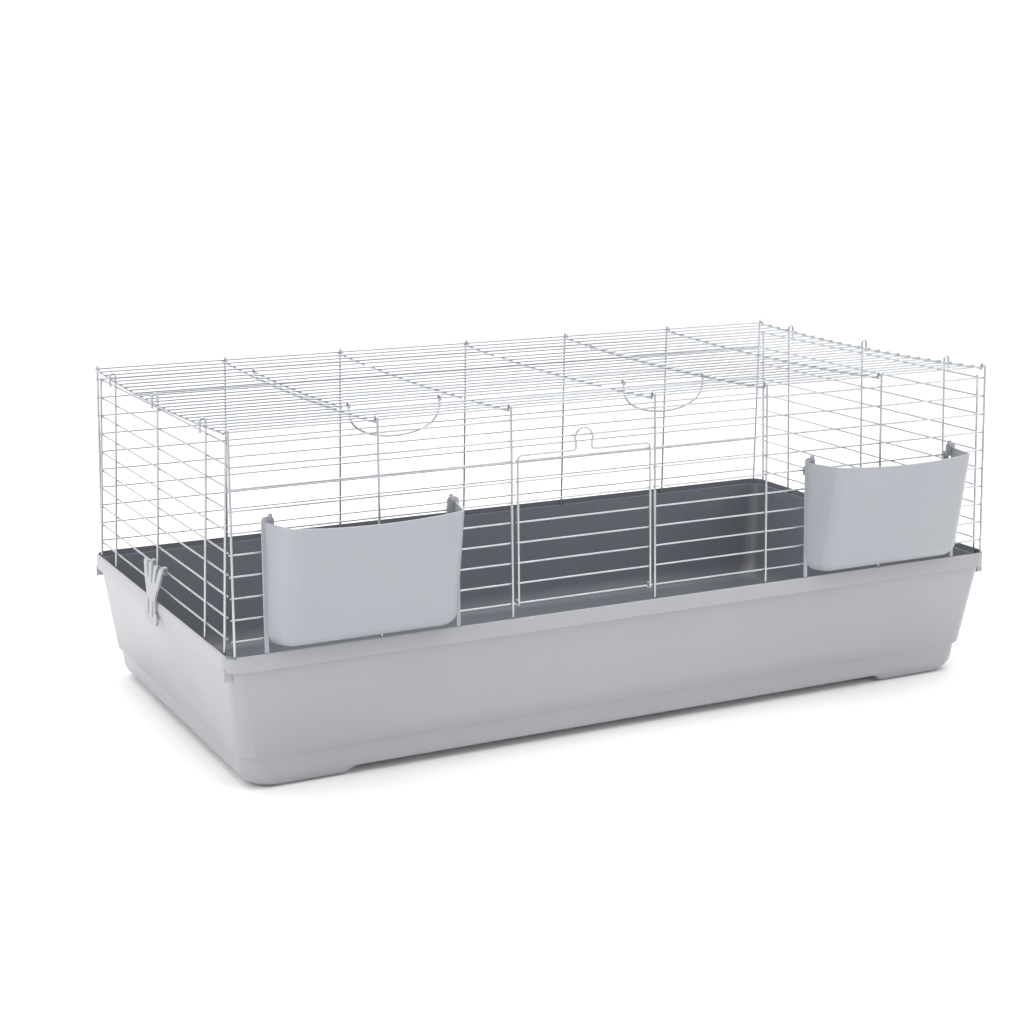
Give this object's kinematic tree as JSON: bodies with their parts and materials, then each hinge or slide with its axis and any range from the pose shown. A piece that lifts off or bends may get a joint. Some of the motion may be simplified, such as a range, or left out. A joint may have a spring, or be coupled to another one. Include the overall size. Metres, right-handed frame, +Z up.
{
  "type": "rabbit hutch",
  "caption": "Indoor rabbit cage: deep plastic tray under a wire mesh top, with a drop-down front door, a lift-up roof hatch with bails, hook-on hay feeders and end clips.",
  "frame": {"origin": "centre of the footprint, feeders included, on the floor plane", "axes": "+X along the length towards the right end seen from the front, -Y out of the front where the door is, +Z up"},
  "size_m": [1.18, 0.6474, 0.46],
  "materials": {
    "tray_plastic": "semi-gloss",
    "fitting_plastic": "semi-gloss",
    "zinc_wire": "bright zinc plate"
  },
  "bodies": {
    "cage": {"base_tray": "tray_plastic", "front_grille_left": "zinc_wire", "front_grille_right": "zinc_wire", "doorway_frame": "zinc_wire", "rear_panel": "zinc_wire", "left_end_panel": "zinc_wire", "right_end_panel": "zinc_wire", "roof_grille_left": "zinc_wire", "roof_grille_right": "zinc_wire", "roof_front_strip": "zinc_wire", "roof_rear_strip": "zinc_wire"},
    "door": {"front_door": "zinc_wire"},
    "hatch": {"roof_hatch": "zinc_wire", "hatch_arm_left": "zinc_wire", "hatch_arm_right": "zinc_wire"},
    "bail_left": {"hatch_bail_left": "zinc_wire"},
    "bail_right": {"hatch_bail_right": "zinc_wire"},
    "feeder_left": {"left_feeder": "fitting_plastic"},
    "feeder_right": {"right_feeder": "fitting_plastic"},
    "clip_left": {"left_clip": "fitting_plastic"},
    "clip_right": {"right_clip": "fitting_plastic"}
  },
  "joints": [
    {"name": "front_door_hinge", "type": "hinge", "parent": "cage", "child": "door", "pos_m": [-0.0905, -0.25698, 0.19993], "axis": [1, 0, 0], "range_deg": [0, 130]},
    {"name": "roof_hatch_hinge", "type": "hinge", "parent": "cage", "child": "hatch", "pos_m": [-0.093, 0.2094, 0.45008], "axis": [-1, 0, 0], "range_deg": [0, 165]},
    {"name": "bail_left_hinge", "type": "hinge", "parent": "hatch", "child": "bail_left", "pos_m": [-0.297, -0.11578, 0.44981], "axis": [1, 0, 0], "range_deg": [-70, 70]},
    {"name": "bail_right_hinge", "type": "hinge", "parent": "hatch", "child": "bail_right", "pos_m": [0.115, -0.11578, 0.44981], "axis": [1, 0, 0], "range_deg": [-70, 70]},
    {"name": "clip_left_hinge", "type": "hinge", "parent": "cage", "child": "clip_left", "pos_m": [-0.57498, 0.02874, 0.2265], "axis": [0, 1, 0], "range_deg": [0, 100]},
    {"name": "clip_right_hinge", "type": "hinge", "parent": "cage", "child": "clip_right", "pos_m": [0.57498, 0.02874, 0.2265], "axis": [0, -1, 0], "range_deg": [0, 100]},
    {"name": "left_feeder_lift", "type": "slide", "parent": "cage", "child": "feeder_left", "axis": [0, 0.0266, 0.9996], "range_m": [0, 0.018]},
    {"name": "right_feeder_lift", "type": "slide", "parent": "cage", "child": "feeder_right", "axis": [0, 0.0266, 0.9996], "range_m": [0, 0.018]}
  ]
}
